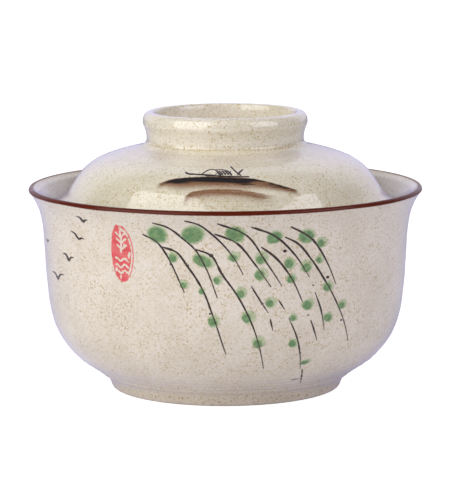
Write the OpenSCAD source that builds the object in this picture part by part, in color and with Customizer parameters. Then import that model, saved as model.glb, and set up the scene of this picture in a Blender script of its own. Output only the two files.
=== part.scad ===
// Lidded rice bowl: a thrown stoneware bowl on a low foot ring, with a flared lip,
// and a domed lid whose edge drops inside the lip and whose knob is a tall ring.
// Both pieces are solids of revolution about Z, and Z = 0 is the table.

/* [Bowl] */
// Outer diameter of the mouth, over the lip
mouth_d = 165; // [155:1:175]
// Height of the bowl, from the table to the top of the lip
bowl_h = 85; // [80:1:90]
// Thickness of the wall at half height
wall = 4.4; // [4.0:0.1:5.0]
// Thickness of the floor at its centre
floor_t = 5; // [4.5:0.1:6.0]
// Radius of the rounded edge of the lip
lip_round = 1.2; // [1.0:0.1:1.4]

/* [Foot ring] */
// Outer diameter of the foot ring, just above the table
foot_d = 96; // [92:1:98]
// Width of the flat band that the bowl stands on
foot_land = 3; // [2.5:0.1:3.5]
// Depth of the hollow inside the foot ring
foot_hollow = 5.5; // [5.0:0.1:6.0]

/* [Lid] */
// Height of the dome's shoulder above the middle of the lid's edge
dome_h = 25; // [24:0.5:27]
// Thickness of the dome
lid_wall = 4.3; // [4.0:0.1:4.6]
// Radius of the rounded edge of the lid
edge_round = 1.6; // [1.4:0.1:1.8]
// Free gap between the lid's edge and the bowl, square to the bowl's wall
lid_gap = 0.3; // [0.2:0.05:0.5]

/* [Knob ring] */
// Outer diameter of the knob ring at its widest
knob_d = 69; // [66:1:72]
// Height of the knob ring above the dome's shoulder
knob_h = 15.2; // [14:0.1:17]
// Depth of the hollow in the knob ring
knob_hollow = 11; // [10:0.5:11.5]

/* [Hidden] */
$fn = 128;
glaze = [0.80, 0.75, 0.69];
lid_glaze = [0.84, 0.79, 0.68];
curve_steps = 5; // straight steps between two neighbouring points of a curve
arc_step = 15;   // largest angle between two points of an arc, in degrees

mouth_r = mouth_d / 2;
foot_r = foot_d / 2;
knob_r = knob_d / 2;

// ---- Outline helpers. An outline is a list of [radius, height] points. ----

// Points on an arc about c, of radius r, from angle a to angle b in degrees
function arc(c, r, a, b) =
    let (n = max(1, ceil(abs(b - a) / arc_step)))
    [for (i = [0 : n]) let (t = a + (b - a) * i / n) c + r * [cos(t), sin(t)]];

// The point at share t of the way from b to c, on the Catmull-Rom curve a, b, c, d
function between(a, b, c, d, t) =
    0.5 * (2 * b + (c - a) * t + (2 * a - 5 * b + 4 * c - d) * t * t
           + (3 * b - a - 3 * c + d) * t * t * t);

// A smooth curve through every point of the list p
function curve(p) =
    let (last = len(p) - 1)
    [for (i = [0 : last - 1], k = [0 : curve_steps - 1])
         between(p[max(i - 1, 0)], p[i], p[i + 1], p[min(i + 2, last)], k / curve_steps),
     p[last]];

// Point i of the list p, moved by t to the left of the way that the list runs
function inset(p, i, t) =
    let (d = p[min(i + 1, len(p) - 1)] - p[max(i - 1, 0)])
    p[i] + t * [-d.y, d.x] / norm(d);

function reversed(p) = [for (i = [len(p) - 1 : -1 : 0]) p[i]];

// ---- Bowl ----

// Outside of the wall, from the foot ring up to the lip, as shares of the mouth's
// radius and of the bowl's height
wall_shares = [
    [0.633, 0.073], [0.660, 0.094], [0.698, 0.119], [0.749, 0.153], // under the belly
    [0.790, 0.190], [0.829, 0.236], [0.860, 0.288], [0.886, 0.355], // round the belly
    [0.904, 0.450], [0.917, 0.585], [0.924, 0.715], [0.932, 0.812], // up the side
    [0.944, 0.876], [0.962, 0.923], [0.981, 0.957], [0.994, 0.977]  // out to the lip
];
wall_out = [for (s = wall_shares) [s.x * mouth_r, s.y * bowl_h]];

// Thickness at the points of wall_out, as shares of the wall, from the fourth point up:
// heavy under the belly, even up the side and fine at the lip
thick_from = 3;
thick_shares = [1.42, 1.28, 1.15, 1.06, 1, 1, 1, 1, 0.97, 0.93, 0.85, 0.74];

floor_z = foot_hollow + floor_t;
floor_in = [[0, floor_z], [0.45 * foot_r, floor_z + 0.2],
            [0.80 * foot_r, floor_z + 1.1], [0.99 * foot_r, floor_z + 2.6]];
wall_in = concat(floor_in, [for (i = [0 : len(thick_shares) - 1])
                                inset(wall_out, thick_from + i, thick_shares[i] * wall)]);

module bowl() {
    hollow_round = 2.5;
    land_out = foot_r - 0.5;
    land_in = land_out - foot_land;
    hollow_c = [land_in - 3.3, foot_hollow - hollow_round];
    lip_c = [mouth_r - lip_round, bowl_h - lip_round];
    color(glaze)
        rotate_extrude()
            polygon(concat(
                [[0, foot_hollow]],
                arc(hollow_c, hollow_round, 90, 10),
                [[land_in - 0.5, 0.5], [land_in, 0], [land_out, 0]],
                [[foot_r + 0.1, 0.4], [foot_r + 0.7, 1.8], [foot_r + 1.5, 3.5], [foot_r + 2.4, 4.7]],
                curve(wall_out),
                arc(lip_c, lip_round, -25, 150),
                reversed(curve(wall_in))));
}

// ---- Lid ----

// The lid's edge rests against the flare of the wall, at this point of wall_out
seat = 12;
edge_c = inset(wall_out, seat, thick_shares[seat - thick_from] * wall + lid_gap + edge_round);
shoulder_z = edge_c.y + dome_h;
top_z = shoulder_z + knob_h;

// Outside of the dome, from its edge up to the knob ring, as shares of the edge's
// radius and of the dome's height
dome_shares = [
    [0.963, 0.133], [0.930, 0.209], [0.911, 0.297], [0.887, 0.409], [0.856, 0.541],
    [0.811, 0.677], [0.750, 0.801], [0.677, 0.887], [0.589, 0.961], [0.507, 1.017]
];
dome_out = [for (s = dome_shares) [s.x * edge_c.x, edge_c.y + s.y * dome_h]];

// Outside of the knob ring: its neck, the swell above it, and the broad round of its crest
knob_out = [[knob_r + 0.1, top_z - 13.9], [knob_r - 1.2, top_z - 12.7], [knob_r - 1.5, top_z - 11.2],
            [knob_r - 1.3, top_z - 8.9], [knob_r - 0.7, top_z - 6.7], [knob_r, top_z - 4.9],
            [knob_r, top_z - 3.4], [knob_r - 0.25, top_z - 2.2], [knob_r - 0.75, top_z - 1.2],
            [knob_r - 1.5, top_z - 0.45], [knob_r - 2.8, top_z]];

// Underside of the dome, from its edge in to the centre
dome_in = concat(
    [for (i = [0 : len(dome_out) - 1]) inset(dome_out, i, min(1, 0.8 + 0.12 * i) * lid_wall)],
    [[0.55 * knob_r, top_z - knob_hollow - lid_wall - 1.3], [0, top_z - knob_hollow - lid_wall]]);

module lid() {
    crest_flat = 0.8;
    brink_round = 1.3;
    hollow_round = 3;
    brink_c = [knob_r - 2.8 - crest_flat, top_z - brink_round];
    hollow_c = [brink_c.x - brink_round - hollow_round - 0.6, top_z - knob_hollow + hollow_round];
    color(lid_glaze)
        rotate_extrude()
            polygon(concat(
                arc(edge_c, edge_round, -110, 60),
                curve(concat(dome_out, knob_out)),
                arc(brink_c, brink_round, 90, 170),
                arc(hollow_c, hollow_round, 0, -90),
                [[0, top_z - knob_hollow]],
                reversed(curve(dome_in))));
}

bowl();
lid();
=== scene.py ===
"""A lidded rice bowl: speckled glaze, an iron-brown lip and a painted willow, on a pale floor.

Lengths are in millimetres until a mesh is made. An azimuth is in degrees round the bowl's axis,
0 at the painted front and growing to the right. Paint is a thin closed film laid on the glaze,
and it shares the glaze's own material, so that it fades into the glaze without an edge.
"""
import math

import bmesh
import bpy
import numpy as np
from mathutils import Matrix, Vector, noise


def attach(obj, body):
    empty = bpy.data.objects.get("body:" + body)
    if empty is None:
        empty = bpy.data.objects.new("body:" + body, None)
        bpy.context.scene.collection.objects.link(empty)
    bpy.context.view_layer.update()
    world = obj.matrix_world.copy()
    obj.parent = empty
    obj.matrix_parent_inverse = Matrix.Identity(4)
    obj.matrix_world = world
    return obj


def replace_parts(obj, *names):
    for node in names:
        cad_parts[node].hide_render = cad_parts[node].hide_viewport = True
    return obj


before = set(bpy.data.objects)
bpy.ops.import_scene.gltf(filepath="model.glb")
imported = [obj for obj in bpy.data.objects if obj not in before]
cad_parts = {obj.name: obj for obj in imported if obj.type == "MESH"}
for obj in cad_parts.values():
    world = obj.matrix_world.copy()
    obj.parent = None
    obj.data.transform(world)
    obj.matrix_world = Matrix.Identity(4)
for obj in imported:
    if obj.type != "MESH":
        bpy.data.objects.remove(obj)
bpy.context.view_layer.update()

MM = 0.001
SEGMENTS = 256        # divisions of a turned piece round its axis
STEP = 1.25           # longest step along a turned piece's outline
WELD = 0.06           # points of a folded outline this close together are one point
LIFT = 0.04           # how far paint stands proud of the glaze
CROWN = 0.01          # how much prouder the middle of a brush line stands
SUNK = -0.06          # where a film's edges lie, just under the glaze
BURIED = -0.4         # where the underside of a wide field of paint lies


def smooth(low, high, x):
    """0 below low and 1 above high, with an even turn between them."""
    t = np.clip((np.asarray(x, float) - low) / (high - low), 0, 1)
    return t * t * (3 - 2 * t)


def hump(rise, fall, x):
    """1 between two slopes and 0 outside them. Each slope is given by where it begins and ends."""
    return smooth(*rise, x) * (1 - smooth(*fall, x))


# ---- Turned surfaces ----

def folded(node):
    """The outline of a turned CAD node, as [radius, height] rows from the centre of its underside."""
    half = bmesh.new()
    half.from_mesh(node.data)
    for v in half.verts:
        v.co = Vector((math.hypot(v.co.x, v.co.y), 0, v.co.z)) / MM
    bmesh.ops.remove_doubles(half, verts=half.verts, dist=WELD)
    here = min((v for v in half.verts if len(v.link_edges) == 1), key=lambda v: v.co.z)
    behind, rows = None, [(0, here.co.z)]
    while here is not None:
        rows.append((here.co.x, here.co.z))
        ahead = [e.other_vert(here) for e in here.link_edges if e.other_vert(here) is not behind]
        behind, here = here, ahead[0] if ahead else None
    rows.append((0, rows[-1][1]))
    half.free()
    rows = np.array(rows)
    apart = np.r_[True, np.hypot(*np.diff(rows, axis=0).T) > 1e-4]
    return rows[apart]


def rounded(points, step):
    """The points joined by a smooth curve, with a new point at least every step."""
    points = np.asarray(points, float)
    gap = np.diff(points, axis=0)
    length = np.linalg.norm(gap, axis=1)
    slope = gap / length[:, None]
    before, after = length[:-1, None], length[1:, None]
    turn = (slope[:-1] * after + slope[1:] * before) / (before + after)
    turn = np.vstack([slope[:1], turn, slope[-1:]])
    rows = []
    for a, b, ta, tb, d in zip(points, points[1:], turn, turn[1:], length):
        t = np.linspace(0, 1, int(math.ceil(d / step)) + 1)[:-1, None]
        rows.append((2 * t**3 - 3 * t**2 + 1) * a + (t**3 - 2 * t**2 + t) * d * ta
                    + (3 * t**2 - 2 * t**3) * b + (t**3 - t**2) * d * tb)
    return np.vstack(rows + [points[-1:]])


class Skin:
    """The surface of a turned piece, followed along its outline from the centre of its underside."""

    def __init__(self, node, ridges):
        line = rounded(folded(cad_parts[node]), STEP)
        line[:, 1] = np.maximum(line[:, 1], 0)
        self.r, self.z = line.T
        self.s = np.r_[0, np.cumsum(np.hypot(*np.diff(line, axis=0).T))]
        run = np.gradient(line, self.s, axis=0)
        run /= np.linalg.norm(run, axis=1)[:, None]
        self.nr, self.nz = run[:, 1], -run[:, 0]
        self.ridges = ridges

    def outside(self, z):
        """The place along the outline, on its outside, that is z high."""
        first, last = self.z.argmin(), self.z.argmax()
        return np.interp(z, self.z[first:last + 1], self.s[first:last + 1])

    def radius(self, s):
        return np.interp(s, self.s, self.r)

    def at(self, azimuth, s, lift=0.0):
        """The point at an azimuth and a place along the outline, lifted off the surface."""
        azimuth, s = np.radians(azimuth), np.asarray(s, float)
        z = np.interp(s, self.s, self.z)
        off = lift + self.ridges(azimuth, s, z)
        r = self.radius(s) + off * np.interp(s, self.s, self.nr)
        z = z + off * np.interp(s, self.s, self.nz)
        return np.stack([r * np.sin(azimuth), -r * np.cos(azimuth), z], axis=-1)


def bowl_ridges(azimuth, s, z):
    """What the turning tool and the wheel leave on the bowl: rings above the foot, a faint wobble."""
    foot = hump((4.5, 7), (11, 20), z)
    rings = 0.16 * foot * np.sin(2 * math.pi * s / 3.1 + 0.3 * np.sin(azimuth))
    body = hump((5, 14), (66, 74), z)
    wobble = 0.05 * np.sin(2 * azimuth + 0.7) + 0.03 * np.sin(3 * azimuth + s / 21)
    return rings + body * (wobble + 0.025 * np.sin(s / 1.9 + np.sin(azimuth)))


def lid_ridges(azimuth, s, z):
    """What the wheel leaves on the lid: rings below the knob, a faint wobble."""
    neck = hump((93, 98), (102, 104), z)
    rings = 0.02 * neck * np.sin(2 * math.pi * s / 2.6)
    body = smooth(79, 85, z)
    wobble = 0.05 * np.sin(2 * azimuth + 2.1) + 0.03 * np.sin(3 * azimuth + s / 17)
    return rings + body * (wobble + 0.01 * np.sin(s / 1.7))


bowl_skin = Skin("bowl", bowl_ridges)
lid_skin = Skin("lid", lid_ridges)


def new_object(name, points, faces, attributes=None):
    """A smooth-shaded mesh object, from points in millimetres."""
    mesh = bpy.data.meshes.new(name)
    mesh.from_pydata(np.asarray(points, float) * MM, [], faces)
    for label, values in (attributes or {}).items():
        mesh.attributes.new(label, "FLOAT", "POINT").data.foreach_set("value", np.float32(values))
    mesh.polygons.foreach_set("use_smooth", [True] * len(mesh.polygons))
    mesh.validate()
    obj = bpy.data.objects.new(name, mesh)
    bpy.context.scene.collection.objects.link(obj)
    return obj


def place(obj, body, material):
    obj.data.materials.append(material)
    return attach(obj, body)


def turned(name, skin):
    """The whole turned piece as one closed mesh, with a single point at each end of its outline.
    Its inner attribute is 0 outside and 1 from a little past the outline's highest point; the bowl's
    glaze paints shade on its inside where it is 1."""
    azimuth = np.arange(SEGMENTS) * 360 / SEGMENTS
    rings = skin.at(azimuth[None, :], skin.s[1:-1, None])
    ends = skin.at(np.zeros(2), skin.s[[0, -1]])
    ends[:, :2] = 0
    points = np.vstack([rings.reshape(-1, 3), ends])
    count, low, high = len(rings), len(points) - 2, len(points) - 1
    turn = [(j, (j + 1) % SEGMENTS) for j in range(SEGMENTS)]
    faces = [(low, b, a) for a, b in turn]
    faces += [(i * SEGMENTS + a, i * SEGMENTS + b, (i + 1) * SEGMENTS + b, (i + 1) * SEGMENTS + a)
              for i in range(count - 1) for a, b in turn]
    last = (count - 1) * SEGMENTS
    faces += [(last + a, last + b, high) for a, b in turn]
    inside_shade = smooth(1.7, 5, skin.s - skin.s[skin.z.argmax()])
    inside_shade = np.r_[np.repeat(inside_shade[1:-1], SEGMENTS), inside_shade[[0, -1]]]
    return new_object(name, points, faces, {"inside_shade": inside_shade})


# ---- Films of paint ----

def noise_over(x, y, across, up, seed):
    """Smooth noise at each of the places x, y. across and up are how fast it changes each way."""
    rows = [noise.noise(Vector((a * across, b * up, seed))) for a, b in zip(x.ravel(), y.ravel())]
    return np.array(rows).reshape(x.shape)


class Film:
    """Thin closed solids of paint on one skin. Each is a row of loops, as in a flattened tube."""

    def __init__(self, skin):
        self.skin = skin
        self.points, self.faces, self.paint, self.tone = [], [], [], []
        self.count = 0

    def loops(self, azimuth, s, lift, paint, tone, ring=False):
        """Adds one solid from its loops: each argument has a row for each loop."""
        azimuth, s, lift, paint, tone = np.broadcast_arrays(azimuth, s, lift, paint, tone)
        rows, width = azimuth.shape
        at = self.count + np.arange(rows * width).reshape(rows, width)
        turn = [(j, (j + 1) % width) for j in range(width)]
        pairs = [(at[i], at[(i + 1) % rows]) for i in range(rows if ring else rows - 1)]
        self.faces += [(p[a], q[a], q[b], p[b]) for p, q in pairs for a, b in turn]
        if not ring:
            self.faces += [tuple(at[0]), tuple(at[-1][::-1])]
        self.points.append(self.skin.at(azimuth, s, lift).reshape(-1, 3))
        self.paint.append(paint.ravel())
        self.tone.append(tone.ravel())
        self.count += rows * width

    def stroke(self, points, width, ends, ink=1.0, fade=0.0):
        """A brush line through [azimuth, height] points. ends are its end widths as shares of width,
        ink is how strong it is, and fade is how much of that the far end loses."""
        azimuth, z = np.asarray(points, float).T
        s = self.skin.outside(z)
        girth = self.skin.radius(s).mean()
        line = rounded(np.stack([np.radians(azimuth) * girth, s], axis=1), 0.8)
        run = np.gradient(line, axis=0)
        run /= np.linalg.norm(run, axis=1)[:, None]
        t = np.linspace(0, 1, len(line))[:, None]
        half = width / 2 * np.interp(t, [0, 0.06, 0.45, 1], [ends[0] * 0.7, ends[0], 1, ends[1]])
        uneven = [noise.noise(Vector((*(0.4 * at), 9 * width))) for at in line]
        half = half * (1 + 0.35 * np.array(uneven)[:, None])
        across = np.array([-1.3, -0.75, 0, 0.75, 1.3, 0.7, -0.7])[None, :]
        lift = np.array([SUNK, LIFT, LIFT + CROWN, LIFT, SUNK, SUNK, SUNK])
        cover = np.array([0, 1, 1, 1, 0, 0, 0])
        side = across * half
        u = line[:, :1] - side * run[:, 1:]
        v = line[:, 1:] + side * run[:, :1]
        strength = ink * (1 - fade * smooth(0.4, 1, t))
        self.loops(np.degrees(u / girth), v, lift, cover * strength, 1.0)

    def dab(self, azimuth, z, wide, high, seed, halo, ink=1.0, lean=0.0):
        """A round touch of the brush, wide and high from its middle, turned by lean in radians.
        halo is how far its pale wet edge reaches, up and to the right."""
        s = float(self.skin.outside(z))
        girth = float(self.skin.radius(s))
        turn = np.linspace(0, 2 * math.pi, 40, endpoint=False)
        edge = np.array([1 + 0.20 * noise.noise(Vector((math.cos(a), math.sin(a), seed * 7.3)) * 1.4)
                         + 0.08 * noise.noise(Vector((math.cos(a), math.sin(a), seed * 3.1)) * 4.5)
                         for a in turn])
        share = np.array([0.03, 0.2, 0.36, 0.52, 0.66, 0.78, 0.88, 0.96, 1.02, 0.9, 0.05])[:, None]
        lift = np.array([LIFT] * 8 + [SUNK] * 3)[:, None]
        x, y = np.cos(turn) * edge * share, np.sin(turn) * edge * share
        core = smooth(1.06 - 0.28 * halo, 0.72 - 0.30 * halo, np.hypot(x + 0.24 * halo, y + 0.26 * halo))
        blot = noise_over(x, y, 2.2, 2.2, seed)
        cover = np.array([1, 1, 1, 1, 1, 0.95, 0.8, 0.4, 0, 0, 0])[:, None]
        u = (x * math.cos(lean) - y * math.sin(lean) * high / wide) * wide
        v = (y * math.cos(lean) + x * math.sin(lean) * wide / high) * high
        self.loops(azimuth + np.degrees(u / girth), s + v, lift, ink * cover * (0.6 + 0.4 * core),
                   np.clip(0.1 + 0.75 * core + 0.5 * blot, 0, 1))

    def patch(self, azimuths, heights, columns, rows, paint, tone):
        """A field of paint between two azimuths and two heights. paint and tone are functions of
        azimuth and height."""
        azimuth = np.linspace(*azimuths, columns)[:, None]
        z = np.linspace(*heights, rows)[None, :]
        azimuth, z = np.broadcast_arrays(azimuth, z)
        rim = np.zeros(azimuth.shape, bool)
        rim[[0, -1]] = rim[:, [0, -1]] = True
        back = slice(rows - 4, 3, -5)
        under = 0 * z[:, back]
        cover = np.where(rim, 0, paint(azimuth, z))
        self.loops(np.hstack([azimuth, azimuth[:, back]]), self.skin.outside(np.hstack([z, z[:, back]])),
                   np.hstack([np.where(rim, SUNK, LIFT), under + BURIED]),
                   np.hstack([cover, under]), np.hstack([tone(azimuth, z), under]))

    def build(self, name, body, slot, material):
        obj = new_object(name, np.vstack(self.points), [tuple(map(int, f)) for f in self.faces],
                         {"paint": np.hstack(self.paint), "tone": np.hstack(self.tone)})
        return place(obj, body, material)


# ---- Materials ----

class Nodes:
    """A node tree in the making."""

    def __init__(self, name):
        self.material = bpy.data.materials.new(name)
        self.material.use_nodes = True
        self.tree = self.material.node_tree
        self.tree.nodes.clear()

    def node(self, kind, out, settings=None, **inputs):
        """Adds a node and returns its output out. An input is given by its name, with _ for a
        space, or by its number, as in i0."""
        made = self.tree.nodes.new("ShaderNode" + kind)
        for key, value in (settings or {}).items():
            setattr(made, key, value)
        for key, value in inputs.items():
            which = int(key[1:]) if key[1:].isdigit() else key.replace("_", " ")
            self.feed(made.inputs[which], value)
        return made.outputs[out]

    def feed(self, socket, value):
        if isinstance(value, bpy.types.NodeSocket):
            self.tree.links.new(value, socket)
        else:
            socket.default_value = value

    def math(self, kind, a, b=0.0, clamp=False):
        return self.node("Math", 0, {"operation": kind, "use_clamp": clamp}, i0=a, i1=b)

    def mix(self, share, a, b, kind="MIX"):
        return self.node("Mix", 2, {"data_type": "RGBA", "blend_type": kind}, i0=share, i6=a, i7=b)

    def ramp(self, value, low, high, to_low=0.0, to_high=1.0):
        return self.node("MapRange", 0, {"interpolation_type": "SMOOTHSTEP"}, i0=value, i1=low,
                         i2=high, i3=to_low, i4=to_high)

    def noise(self, where, scale, detail=3.0):
        return self.node("TexNoise", 0, None, Vector=where, Scale=scale, Detail=detail,
                         Roughness=0.55)

    def specks(self, where, scale, rare, largest, soft):
        """Round specks, one at most in each cell: the rarer, the higher rare is. largest and the
        width of their soft edge are in cells."""
        cell = self.node("TexVoronoi", 0, None, Vector=where, Scale=scale)
        chance = self.node("SeparateColor", 0, None, Color=cell.node.outputs[1])
        reach = self.math("MULTIPLY", self.math("SUBTRACT", chance, rare), largest / (1 - rare))
        return self.math("DIVIDE", self.math("SUBTRACT", reach, cell), soft, clamp=True)

    def finished(self, shader):
        """The material, with the shader on its surface."""
        output = self.tree.nodes.new("ShaderNodeOutputMaterial")
        self.feed(output.inputs["Surface"], shader)
        return self.material


def colour(r, g, b):
    return (r, g, b, 1.0)


# The light and the dark colour that each piece's glaze wanders between
GLAZES = {
    "bowl": (colour(0.765, 0.70, 0.635), colour(0.70, 0.63, 0.555)),
    "lid": (colour(0.78, 0.73, 0.615), colour(0.715, 0.67, 0.53)),
}
OCHRE = colour(0.80, 0.72, 0.58)

# The layers of specks: cells in a metre, rarity, largest radius, soft edge, strength and tint
FINE_SPECKS = (1200.0, 0.0, 0.66, 0.3, 0.85, colour(0.71, 0.61, 0.36))
BROWN_SPECKS = (800.0, 0.1, 0.48, 0.24, 0.85, colour(0.66, 0.54, 0.30))
DARK_SPECKS = (170.0, 0.35, 0.075, 0.025, 0.6, colour(0.34, 0.21, 0.12))

# The height of the crease between the dome and the knob ring
CREASE = lid_skin.z.max() - 12.6


def band(n, height, low, high, soft):
    """1 between two heights and 0 outside them, with soft edges."""
    above = n.ramp(height, low - soft, low + soft)
    return n.math("MULTIPLY", above, n.ramp(height, high + soft, high - soft))


def tinted(n, base, share, strength, tint):
    """base multiplied by a tint, where share says and as strongly as strength."""
    return n.mix(n.math("MULTIPLY", share, strength), base, tint, "MULTIPLY")


def bowl_marks(n, spot, height, base):
    """The thrown rings above the foot, painted shade inside the bowl, and the speckled band and a darker
    line along the foot's bottom edge. Also says how thickly the specks crowd there."""
    around = n.node("VectorMath", 0, {"operation": "MULTIPLY"}, i0=spot, i1=(18.0, 18.0, 620.0))
    streaky = n.ramp(n.noise(around, 1.0, 1.0), 0.42, 0.68)
    rings = n.math("MULTIPLY", streaky, band(n, height, 4.5, 11, 1.5))
    base = tinted(n, base, rings, 0.25, OCHRE)
    # Painted shade: the bowl's inside is darkened to a cool grey where the inner attribute says.
    inside_shade = n.node("Attribute", 2, {"attribute_name": "inside_shade"})
    base = n.mix(inside_shade, base, colour(0.71, 0.70, 0.74), "MULTIPLY")
    foot = band(n, height, 1.6, 4.2, 0.6)
    base = tinted(n, base, foot, 0.12, OCHRE)
    # A darker line just above the foot's bottom edge.
    edge = n.math("MULTIPLY", band(n, height, 0.2, 1.2, 0.3), 0.5)
    base = n.mix(edge, base, colour(0.70, 0.62, 0.58))
    return base, n.math("MULTIPLY", foot, 1.3)


def lid_marks(n, spot, height, base):
    """The thrown bands below the knob, painted light that makes the knob lighter and cooler, and the
    ochre pool in its crease. Also says how thickly the specks crowd there."""
    around = n.node("VectorMath", 0, {"operation": "MULTIPLY"}, i0=spot, i1=(14.0, 14.0, 900.0))
    streaky = n.ramp(n.noise(around, 1.0, 2.0), 0.4, 0.65)
    bands = n.math("MULTIPLY", streaky, band(n, height, CREASE - 5.1, CREASE - 0.6, 1.5))
    base = tinted(n, base, bands, 0.5, colour(0.90, 0.83, 0.66))
    # Painted light: the knob is made lighter and cooler than the dome below it, for the light that falls on
    # it.
    knob = n.ramp(height, CREASE - 0.1, CREASE + 1.9)
    base = n.mix(knob, base, colour(1.04, 1.04, 1.09), "MULTIPLY")
    patchy = n.ramp(n.noise(spot, 120.0), 0.3, 0.7, 0.35, 1.0)
    pool = n.math("MULTIPLY", band(n, height, CREASE - 0.3, CREASE + 0.4, 0.3), patchy)
    base = n.mix(n.math("MULTIPLY", pool, 0.6), base, colour(0.58, 0.44, 0.20))
    return base, n.math("MULTIPLY", band(n, height, CREASE - 0.6, CREASE + 1.6, 0.6), 1.4)


def sprinkled(n, base, where, layer, crowd=1.0):
    """base with a layer of specks in it, as thick as crowd says."""
    scale, rare, largest, soft, strength, tint = layer
    return tinted(n, base, n.specks(where, scale, rare, largest, soft),
                  n.math("MULTIPLY", crowd, strength), tint)


def painted(n, base, spot, weak, strong):
    """base under a paint, laid where the mesh's paint attribute says. Its tone attribute mixes the
    paint's weak and strong colours."""
    cover = n.node("Attribute", 2, {"attribute_name": "paint"})
    tone = n.node("Attribute", 2, {"attribute_name": "tone"})
    streak = n.ramp(n.noise(spot, 700.0, 2.0), 0.2, 0.8, 0.97, 1.15)
    cover = n.math("MULTIPLY", cover, streak, clamp=True)
    return n.mix(cover, base, n.mix(tone, weak, strong))


def glaze(name, piece, paint=None, gloss=1.0):
    """The speckled glaze of a piece, over a paint where one is given as its weak and strong colour.
    gloss scales its clear coat, its specular light and its lilac sheen."""
    n = Nodes(name)
    spot = n.node("TexCoord", "Object")
    drift = n.noise(spot, 1500.0, 1.0).node.outputs[1]
    warp = n.node("VectorMath", 0, {"operation": "SCALE"}, i0=drift, Scale=0.5 * MM)
    where = n.node("VectorMath", 0, {"operation": "ADD"}, i0=spot, i1=warp)
    cloud = n.ramp(n.noise(spot, 60.0, 4.0), 0.3, 0.7)
    base = n.mix(cloud, *GLAZES[piece])
    height = n.math("DIVIDE", n.node("SeparateXYZ", 2, None, Vector=where), MM)
    marks = bowl_marks if piece == "bowl" else lid_marks
    base, extra = marks(n, spot, height, base)
    crowd = n.math("MAXIMUM", n.ramp(n.noise(spot, 110.0, 3.0), 0.36, 0.64, 0.4, 1.15), extra)
    if paint:
        base = painted(n, base, spot, *paint)
    grain = n.ramp(n.noise(where, 1100.0, 2.0), 0.35, 0.65)
    base = n.mix(grain, base, colour(0.92, 0.895, 0.82), "MULTIPLY")
    base = sprinkled(n, base, where, FINE_SPECKS, crowd)
    base = sprinkled(n, base, where, BROWN_SPECKS, crowd)
    base = sprinkled(n, base, where, DARK_SPECKS)
    skin = n.node("Bump", 0, None, Strength=0.3, Distance=0.04 * MM, Height=n.noise(spot, 260.0, 2.0))
    rough = n.ramp(n.noise(spot, 300.0, 2.0), 0.3, 0.7, 0.30, 0.42)
    shader = n.node("BsdfPrincipled", 0, None, Base_Color=base, Roughness=rough, IOR=1.5,
                    Specular_IOR_Level=0.3 * gloss, Coat_Weight=gloss, Coat_Roughness=0.05,
                    Coat_IOR=1.6, Normal=skin, Coat_Normal=skin, Sheen_Weight=0.9 * gloss,
                    Sheen_Roughness=0.3, Sheen_Tint=colour(0.66, 0.62, 1.0))
    return n.finished(shader)


def bare_clay():
    """Unglazed stoneware: matt, warm and gritty."""
    n = Nodes("bare_clay")
    spot = n.node("TexCoord", "Object")
    body = n.mix(n.ramp(n.noise(spot, 140.0, 4.0), 0.3, 0.7), colour(0.30, 0.19, 0.12),
                 colour(0.42, 0.29, 0.20))
    grit = n.specks(spot, 1100.0, 0.5, 0.3, 0.1)
    body = n.mix(n.math("MULTIPLY", grit, 0.6), body, colour(0.45, 0.35, 0.28), "MULTIPLY")
    skin = n.node("Bump", 0, None, Strength=0.6, Distance=0.08 * MM, Height=n.noise(spot, 1500.0, 3.0))
    rough = n.ramp(n.noise(spot, 500.0, 2.0), 0.3, 0.7, 0.78, 0.92)
    shader = n.node("BsdfPrincipled", 0, None, Base_Color=body, Roughness=rough, Normal=skin)
    return n.finished(shader)


# The weak and the strong colour of each paint
INK = (colour(0.090, 0.042, 0.038), colour(0.026, 0.010, 0.008))
LEAF = (colour(0.33, 0.47, 0.21), colour(0.085, 0.225, 0.078))
SEAL = (colour(0.76, 0.13, 0.14), colour(0.70, 0.040, 0.060))
IRON = (colour(0.24, 0.055, 0.02), colour(0.098, 0.011, 0.002))
WASH = (colour(0.26, 0.135, 0.07), colour(0.008, 0.005, 0.004))


# ---- The two pieces ----

def build_bowl():
    obj = turned("bowl_body", bowl_skin)
    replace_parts(place(obj, "bowl", glaze("bowl_glaze", "bowl")), "bowl")


def build_lid():
    obj = turned("lid_body", lid_skin)
    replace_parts(place(obj, "lid", glaze("lid_glaze", "lid")), "lid")


def ring_film(skin, start, end, steps, edges, waver):
    """A band of paint all round a skin, between two places on its outline. edges are the shares of
    its width over which it fades in and out, and waver is how far its start strays."""
    film = Film(skin)
    azimuth = np.linspace(0, 360, 360, endpoint=False)[:, None]
    t = np.linspace(0, 1, steps)[None, :]
    shift = np.array([[waver * noise.noise(Vector((math.sin(a) * 4, math.cos(a) * 4, 0.5)))]
                      for a in np.radians(azimuth[:, 0])])
    top = start + shift + (end - start - shift) * t
    under = top[:, [-2, steps // 2, 1]]
    lift = np.where((t == 0) | (t == 1), SUNK, LIFT) + 0 * azimuth
    cover = hump((0, edges[0]), (1 - edges[1], 1), t) + 0 * azimuth
    film.loops(azimuth + 0 * np.hstack([top, under]), np.hstack([top, under]),
               np.hstack([lift, 0 * under + SUNK * 2]), np.hstack([cover, 0 * under]),
               np.hstack([cover, 0 * under]), ring=True)
    return film


def build_rim():
    """The iron-brown line on the lip, from just under its outer edge over to its inside."""
    top = bowl_skin.s[bowl_skin.z.argmax()]
    film = ring_film(bowl_skin, top - 2.5, top + 1.0, 18, (0.10, 0.2), 0.25)
    film.build("iron_rim", "bowl", "iron_rim", glaze("iron_rim", "bowl", IRON, 0.2))


def build_foot_clay():
    """The bare band that the bowl stands on."""
    land = np.flatnonzero(bowl_skin.z < 0.02)
    film = ring_film(bowl_skin, bowl_skin.s[land[0]] - 0.5, bowl_skin.s[land[-1]] + 0.95, 8, (0.1, 0.1), 0.1)
    film.build("foot_clay", "bowl", "bare_clay", bare_clay())


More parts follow.
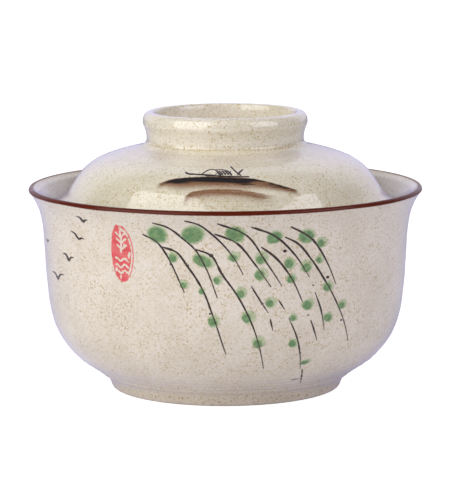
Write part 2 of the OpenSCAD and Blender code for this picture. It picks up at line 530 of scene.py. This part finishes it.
def build_lid_clay():
    """The bare edge that the lid rests on, wiped clean of glaze before firing."""
    low = lid_skin.s[lid_skin.z.argmin()]
    film = ring_film(lid_skin, low - 2.6, low + 1.2, 12, (0.1, 0.1), 0.15)
    film.build("lid_edge_clay", "lid", "bare_clay", bare_clay())


# ---- The willow on the bowl ----

# Each branch and twig is a row of azimuths and heights along it, from its thick end
BRANCHES = [
    [(-25, 74.5), (-21, 72), (-18, 67), (-16, 62), (-14, 56), (-12.5, 51.5)],
    [(-19, 69.7), (-15, 68), (-11.3, 62), (-7, 53), (-4, 42.5), (0, 26)],
    [(-21.3, 79.6), (-17, 78), (-13, 74), (-9, 69), (-6, 62), (-2.5, 49.5)],
    [(-9.2, 69.3), (-4.6, 67), (-1, 59), (3, 51.5), (7.7, 39.5), (12, 22.5), (12.8, 19)],
    [(-11.6, 81), (-8.3, 79.8), (-3.6, 75), (0, 70), (3, 64.5), (5.2, 59)],
    [(-2.4, 80), (6, 75), (12, 64), (17, 54)],
    [(-3.2, 75.6), (3, 72), (8.4, 63.6), (13.7, 53.6)],
    [(7.3, 78.4), (14, 74.7), (20.7, 66.7), (26, 56.7)],
    [(10.5, 70), (14.5, 66), (20, 57), (24, 46.5)],
    [(17.6, 73.7), (21.5, 71), (26.7, 63.5), (31, 55.7), (38, 41), (43, 28)],
    [(19, 78), (26.3, 72.2), (31.6, 63), (35.6, 52.7)],
]
TWIGS = [
    [(7.6, 54.3), (11, 47), (13, 43)],
    [(13.6, 40.6), (14.6, 35.5)],
    [(27, 39), (30, 30)],
    [(16.2, 48), (18.2, 44)],
    [(19.6, 40.5), (22.7, 32), (24.7, 24.6), (26.6, 17.7)],
    [(27.5, 17.6), (29.6, 13), (32.6, 9)],
    [(25.7, 12.2), (29.9, 12.6)],
    [(28, 50.4), (30.5, 42.7), (32.2, 34.2)],
]
# Azimuth, height, and half the width and half the height of each leaf
LEAVES = [
    (-20, 75, 4.4, 3.7), (-9.4, 75.5, 4.9, 3.8), (3, 75.6, 4.2, 3.4), (14.5, 73.9, 3.5, 2.6),
    (24.6, 73.6, 3.7, 3.0), (29.9, 70.6, 2.5, 2.3), (-15.8, 65.8, 2.2, 2.1), (-6.7, 64.5, 4.2, 2.5),
    (2.5, 66.4, 2.5, 2.1), (10.8, 65.5, 2.7, 2.5), (19.5, 63, 2.4, 2.3), (25.1, 61.3, 2.7, 2.5),
    (29.5, 63.7, 2.0, 1.8), (10.6, 59.1, 2.7, 2.6), (20.1, 56.8, 2.1, 2.1), (-2.3, 56.9, 1.9, 1.9),
    (-12.6, 55, 1.9, 1.8), (32.7, 52.3, 2.4, 2.1), (-7.1, 52.4, 1.4, 1.5), (4.6, 51.8, 2.3, 2.3),
    (13.8, 47.3, 2.3, 2.2), (25.8, 45.7, 2.7, 2.4), (38.4, 44.1, 2.4, 1.9), (7, 41.7, 2.8, 2.8),
    (21.1, 40.8, 1.8, 1.7), (33.3, 39.5, 2.4, 2.0), (-3.6, 40.2, 2.5, 2.5), (10.3, 31.2, 2.8, 2.7),
    (21.7, 29.9, 2.2, 2.0), (27.5, 20.9, 2.6, 1.4),
]
# Azimuth, height and size of each bud
BUDS = [
    (-16.5, 62.9, 0.7), (-11.3, 62.6, 0.6), (-4.3, 66.8, 1.1), (-1, 59.3, 0.7), (-4.8, 43.1, 0.6),
    (17.8, 68, 1.0), (26.7, 71.7, 0.9), (27.3, 53.3, 0.5), (32.4, 56, 0.9), (11, 47, 0.7),
    (38.5, 37.5, 0.7), (24.6, 25.3, 0.6), (26, 41.2, 0.5),
]


def build_willow():
    branches = Film(bowl_skin)
    for points in BRANCHES:
        branches.stroke(points, 0.95, ends=(1.0, 0.5), fade=0.12)
    for points in TWIGS:
        branches.stroke(points, 0.85, ends=(0.65, 0.5), ink=0.95, fade=0.2)
    for i, (azimuth, z, size) in enumerate(BUDS):
        branches.dab(azimuth, z, size * 0.95, size * 0.75, seed=50 + i, ink=0.95, halo=0.1)
    branches.build("willow_branches", "bowl", "ink_line", glaze("bowl_ink", "bowl", INK, 0.6))


def build_leaves():
    leaves = Film(bowl_skin)
    for i, (azimuth, z, wide, high) in enumerate(LEAVES):
        leaves.dab(azimuth, z, wide * 1.14, high * 1.14, seed=i, lean=0.4 * math.sin(i * 2.4),
                   halo=0.3 if wide > 3.4 else 0.8 + 0.2 * math.sin(i * 1.7))
    leaves.build("willow_leaves", "bowl", "leaf_green", glaze("bowl_leaf", "bowl", LEAF))


# Each bird is one brush line, from wing tip to wing tip
BIRDS = [
    [(-49.2, 79.3), (-47.6, 78.9), (-46.3, 77.4), (-45.4, 78.1), (-44.2, 78.3)],
    [(-54.5, 72.3), (-52.4, 71.6), (-50.3, 69.5), (-49.2, 70.0), (-47.9, 69.8)],
    [(-77.4, 65.1), (-75, 64.3), (-72.5, 65.2)],
    [(-60.8, 62), (-58.6, 61.6), (-56.9, 59.7), (-55.6, 61), (-54, 61.1)],
    [(-71, 52.3), (-68, 52.2), (-65.7, 50.6), (-63.6, 52.4), (-61, 52.8)],
]


def build_birds():
    birds = Film(bowl_skin)
    for points in BIRDS:
        birds.stroke(points, 1.7, ends=(0.3, 0.2), ink=0.95)
    birds.build("birds", "bowl", "ink_line", glaze("bird_ink", "bowl", INK, 0.6))


# ---- The seal beside the willow: a worn oval stamp with a sprig over three waves ----

SEAL_AT = (-32.6, 66.0)     # azimuth and height of its middle
SEAL_HALF = (5.4, 11.8)     # half its width and half its height


def line_gap(x, y, points):
    """The distance from each place to a line through the points."""
    best = np.full(np.shape(x), 1e9)
    for (ax, ay), (bx, by) in zip(points, points[1:]):
        dx, dy = bx - ax, by - ay
        t = np.clip(((x - ax) * dx + (y - ay) * dy) / (dx * dx + dy * dy), 0, 1)
        best = np.minimum(best, np.hypot(x - ax - t * dx, y - ay - t * dy))
    return best


def seal_paint(azimuth, z):
    """An oval with the sprig and the waves cut out of it, a thin border on its right, and worn places."""
    girth = float(bowl_skin.radius(bowl_skin.outside(SEAL_AT[1])))
    x = np.radians(azimuth - SEAL_AT[0]) * girth
    y = z - SEAL_AT[1]
    rough = noise_over(x, y, 0.9, 0.9, 3.0)
    worn = noise_over(x, y, 0.45, 0.3, 4.0)
    oval = np.hypot(x / SEAL_HALF[0], y / SEAL_HALF[1]) + 0.05 * rough
    body = 1 - smooth(0.97, 1.02, oval)
    border = smooth(0.5, 0.15, np.abs(oval - 0.85) * 5.4) * smooth(0.5, 2.2, x + 0.15 * y)
    stem = [(-0.6, 0.4), (-0.3, 3), (0.1, 6), (-0.1, 9)]
    leaf_gaps = [line_gap(x, y, [(-0.2, h), (side * 2.1, h + 1.7)]) for h in (1.6, 4.2, 6.6)
                 for side in (-1, 1)]
    gap = np.minimum(line_gap(x, y, stem), np.minimum.reduce(leaf_gaps))
    for level in (-2.6, -5.2, -7.6):
        wave = [(a, level + 0.6 * math.sin(a * 1.6)) for a in np.linspace(-3.2, 2.8, 13)]
        gap = np.minimum(gap, line_gap(x, y, wave))
    cut = smooth(0.52, 0.28, gap + 0.18 * rough)
    gone = smooth(0.36, 0.54, worn + 0.35 * rough)
    return body * (1 - cut) * (1 - border) * (1 - 0.9 * gone) * (0.97 + 0.1 * rough)


def seal_tone(azimuth, z):
    """Slow waves between the weak and the strong red."""
    return np.clip(0.6 + 0.4 * np.sin(z * 0.9 + azimuth * 0.7), 0, 1)


def build_seal():
    seal = Film(bowl_skin)
    azimuths = (SEAL_AT[0] - 4.6, SEAL_AT[0] + 4.6)
    heights = (SEAL_AT[1] - 12.6, SEAL_AT[1] + 12.6)
    seal.patch(azimuths, heights, 76, 150, seal_paint, seal_tone)
    seal.build("seal", "bowl", "seal_red", glaze("bowl_seal", "bowl", SEAL))


# ---- The shore and the boat on the lid ----

# The upper edge of the shore's brush line, and of the paler bank below it
SHORE = [(-28, 91.9), (-22.8, 93.9), (-16.8, 94.8), (-9.5, 95.3), (0.9, 95.2), (8.5, 94.8),
         (13.6, 94.1), (20.7, 92.2), (29, 89.4)]
BANK = [(-15.5, 87), (-13.3, 89.7), (-9.6, 90.6), (-3.9, 91.1), (1.8, 91.1), (7.8, 90.5),
        (12.4, 89.5), (19, 88)]


def streaks(azimuth, z, seed):
    """The marks that a brush's hairs leave along a stroke, from about -1 to 1."""
    return noise_over(azimuth, z, 0.10, 1.9, seed) + 0.5 * noise_over(azimuth, z, 0.3, 5, seed)


def below(line, azimuth, z):
    """How far each place lies below a line of [azimuth, height] points."""
    a, h = rounded(line, 0.5).T
    return np.interp(azimuth, a, h) - z


def along(line, azimuth):
    """0 at a line's first azimuth and 1 at its last."""
    return (azimuth - line[0][0]) / (line[-1][0] - line[0][0])


def wash_paint(azimuth, z):
    """The brown water under the shore, and a second, paler bank below it."""
    hair = streaks(azimuth, z, 2.0)
    deep, t = below(SHORE, azimuth, z), along(SHORE, azimuth)
    ends = smooth(0, 0.05, t) * smooth(1, 0.95, t)
    reach = 1.8 + 3.1 * smooth(0.02, 0.2, t) * smooth(1.0, 0.55, t)
    shore = ends * smooth(-0.15, 0.1, deep + 0.1 * hair) * smooth(reach + 0.9, reach * 0.3, deep + 0.5 * hair)
    deep, t = below(BANK, azimuth, z), along(BANK, azimuth)
    ends = smooth(0, 0.04, t) * smooth(1, 0.8, t + 0.1 * hair)
    bank = ends * smooth(-0.1, 0.3, deep + 0.15 * hair) * (0.3 + 0.7 * smooth(3.4, 1.2, deep + 0.4 * hair))
    bank = bank * smooth(5.6, 2.6, deep + 0.8 * hair)
    return np.clip(np.maximum(shore * (1.08 + 0.3 * hair), bank * (0.98 + 0.3 * hair))
                   + wash_tone(azimuth, z) * shore, 0, 1)


def wash_tone(azimuth, z):
    """How black the shore's brush line is: a thick stroke that ends in streaks on the right."""
    hair = streaks(azimuth, z, 5.0)
    deep, t = below(SHORE, azimuth, z), along(SHORE, azimuth)
    thick = (0.7 + 1.2 * smooth(0.02, 0.18, t)) * (1 - 0.66 * smooth(0.58, 0.85, t))
    dry = 0.5 + 0.9 * smooth(0.5, 0.8, t) + 0.4 * smooth(0.2, 0.05, t)
    return np.clip(smooth(thick + 0.5, thick - 0.4, deep + dry * hair)
                   * smooth(-0.1, 0.25, deep + 0.2 * hair) * smooth(0.01, 0.1, t) * smooth(1, 0.93, t), 0, 1)


# Brush lines and their widths: the hull, the arch, the awning's top, the pole and the oar, and two
# dry streaks of the shore below them
BOAT_LINES = [
    ([(-17.9, 96.8), (-16.4, 96.2), (-13, 96.05), (-8.6, 95.9), (-4.3, 95.6), (2, 95.4), (10, 95.2)], 1.6),
    ([(-10.4, 96.0), (-9, 96.9), (-7.6, 97.5), (-5.9, 97.7), (-3.5, 97.1), (-1.8, 95.8)], 1.05),
    ([(-4.9, 97.6), (-1.5, 97.6), (1.2, 97.1), (2.6, 95.7)], 1.05),
    ([(2.5, 98.6), (4.5, 97.1), (6.6, 95.6)], 1.1),
    ([(8.3, 97.7), (6.5, 96.9), (5.1, 95.7)], 1.0),
    ([(2.5, 93.6), (6, 93.2), (10, 93.1)], 0.8),
    ([(4.5, 92.9), (8, 92.5), (11.5, 92.5)], 0.7),
]
HATCHES = 5                 # pairs of crossed lines that shade the awning


def build_lid_painting():
    wash = Film(lid_skin)
    wash.patch((-34, 34), (84.5, 96.2), 300, 76, wash_paint, wash_tone)
    wash.build("shore_wash", "lid", "brown_wash", glaze("lid_wash", "lid", WASH))
    boat = Film(lid_skin)
    for points, width in BOAT_LINES:
        boat.stroke(points, width, ends=(0.7, 0.7))
    for i in range(HATCHES):
        left = -4.2 + 1.3 * i
        boat.stroke([(left, 97.4), (left + 2.0, 95.8)], 0.75, ends=(1, 0.8))
        boat.stroke([(left + 1.6, 97.2), (left - 0.2, 95.9)], 0.6, ends=(1, 0.8))
    boat.build("boat", "lid", "ink_line", glaze("lid_ink", "lid", INK, 0.6))


build_bowl()
build_lid()
build_rim()
build_foot_clay()
build_lid_clay()
build_willow()
build_leaves()
build_birds()
build_seal()
build_lid_painting()


# ---- Floor, light and camera ----

def build_sheet(name, z, grey, glow):
    """A wide level sheet of paper. glow is how bright it is by itself."""
    size = 9.0
    corners = [(-size, -size, z), (size, -size, z), (size, size, z), (-size, size, z)]
    mesh = bpy.data.meshes.new(name)
    mesh.from_pydata(corners, [], [(0, 1, 2, 3)])
    sheet = bpy.data.objects.new(name, mesh)
    bpy.context.scene.collection.objects.link(sheet)
    n = Nodes(name)
    spot = n.node("TexCoord", "Object")
    paler = grey + 0.02
    paper = n.mix(n.noise(spot, 8.0), colour(grey, grey, grey), colour(paler, paler, paler))
    shader = n.node("BsdfPrincipled", 0, None, Base_Color=paper, Roughness=0.9,
                    Specular_IOR_Level=0.1, Emission_Color=colour(1.0, 1.0, 1.0),
                    Emission_Strength=glow)
    mesh.materials.append(n.finished(shader))
    return sheet


def build_floor():
    """A white floor, bright enough to stay white in the picture. It lets light through to a plain
    sheet under it, and what lights the bowl from below, or shows in its glaze, is that sheet."""
    floor = build_sheet("floor", 0.0, 0.25, 0.93)
    floor.visible_diffuse = False
    floor.visible_glossy = False
    floor.visible_shadow = False
    build_sheet("under_floor", -0.5 * MM, 0.86, 0.0)


def soft_box(name, place_at, aim, width, height, power, tint):
    """A rectangular lamp that faces aim. Lengths are in metres and power is in watts."""
    light = bpy.data.lights.new(name, "AREA")
    light.shape, light.size, light.size_y = "RECTANGLE", width, height
    light.energy, light.color = power, tint
    lamp = bpy.data.objects.new(name, light)
    lamp.location = place_at
    lamp.rotation_euler = (Vector(aim) - Vector(place_at)).to_track_quat("-Z", "Y").to_euler()
    bpy.context.scene.collection.objects.link(lamp)
    return lamp


def build_world():
    """A studio that is white behind the bowl and dark behind the camera."""
    world = bpy.data.worlds.new("studio")
    world.use_nodes = True
    tree = world.node_tree
    back = tree.nodes["Background"]
    back.inputs[0].default_value = (0.93, 0.915, 1.0, 1.0)
    way = tree.nodes.new("ShaderNodeTexCoord")
    parts = tree.nodes.new("ShaderNodeSeparateXYZ")
    shade = tree.nodes.new("ShaderNodeMapRange")
    turns_at, brightness = (0.38, 0.66), (0.11, 0.97)
    for socket, value in zip(shade.inputs[1:5], turns_at + brightness):
        socket.default_value = value
    tree.links.new(way.outputs["Generated"], parts.inputs[0])
    tree.links.new(parts.outputs["Y"], shade.inputs[0])
    tree.links.new(shade.outputs[0], back.inputs[1])
    bpy.context.scene.world = world


def build_lights():
    """A soft box on each side, seen in the glaze, and two weak ones that aren't seen in it."""
    aim = (0, 0, 0.06)
    soft_box("left_box", (-0.84, -0.66, 0.64), aim, 1.25, 1.3, 13.5, (1.0, 0.99, 0.97))
    soft_box("right_box", (0.99, -0.58, 0.66), aim, 0.95, 0.9, 6.7, (0.94, 0.91, 1.0))
    above = soft_box("top_box", (0.0, -0.1, 1.5), aim, 1.6, 1.6, 2.8, (1.0, 0.99, 0.98))
    above.visible_glossy = False
    front = soft_box("front_box", (0.0, -1.0, 0.8), aim, 1.2, 1.0, 1.0, (1.0, 0.99, 0.98))
    front.visible_glossy = False


def build_camera():
    """Looks at the axis from the front, a little from above, through a long lens."""
    distance, elevation, roll = 1.2, math.radians(8.75), math.radians(0.22)
    aim = Vector((0, 0, 0.0572))
    data = bpy.data.cameras.new("camera")
    data.sensor_width = 36.0
    data.lens = 204.8
    data.shift_x = -0.0012
    data.clip_start, data.clip_end = 0.05, 50.0
    camera = bpy.data.objects.new("camera", data)
    bpy.context.scene.collection.objects.link(camera)
    tilt = Matrix.Rotation(math.pi / 2 - elevation, 4, "X")
    back = Vector((0, -math.cos(elevation), math.sin(elevation))) * distance
    camera.matrix_world = Matrix.Translation(aim + back) @ tilt @ Matrix.Rotation(-roll, 4, "Z")
    bpy.context.scene.camera = camera


build_floor()
build_world()
build_lights()
build_camera()
bpy.context.scene.view_settings.view_transform = "Standard"
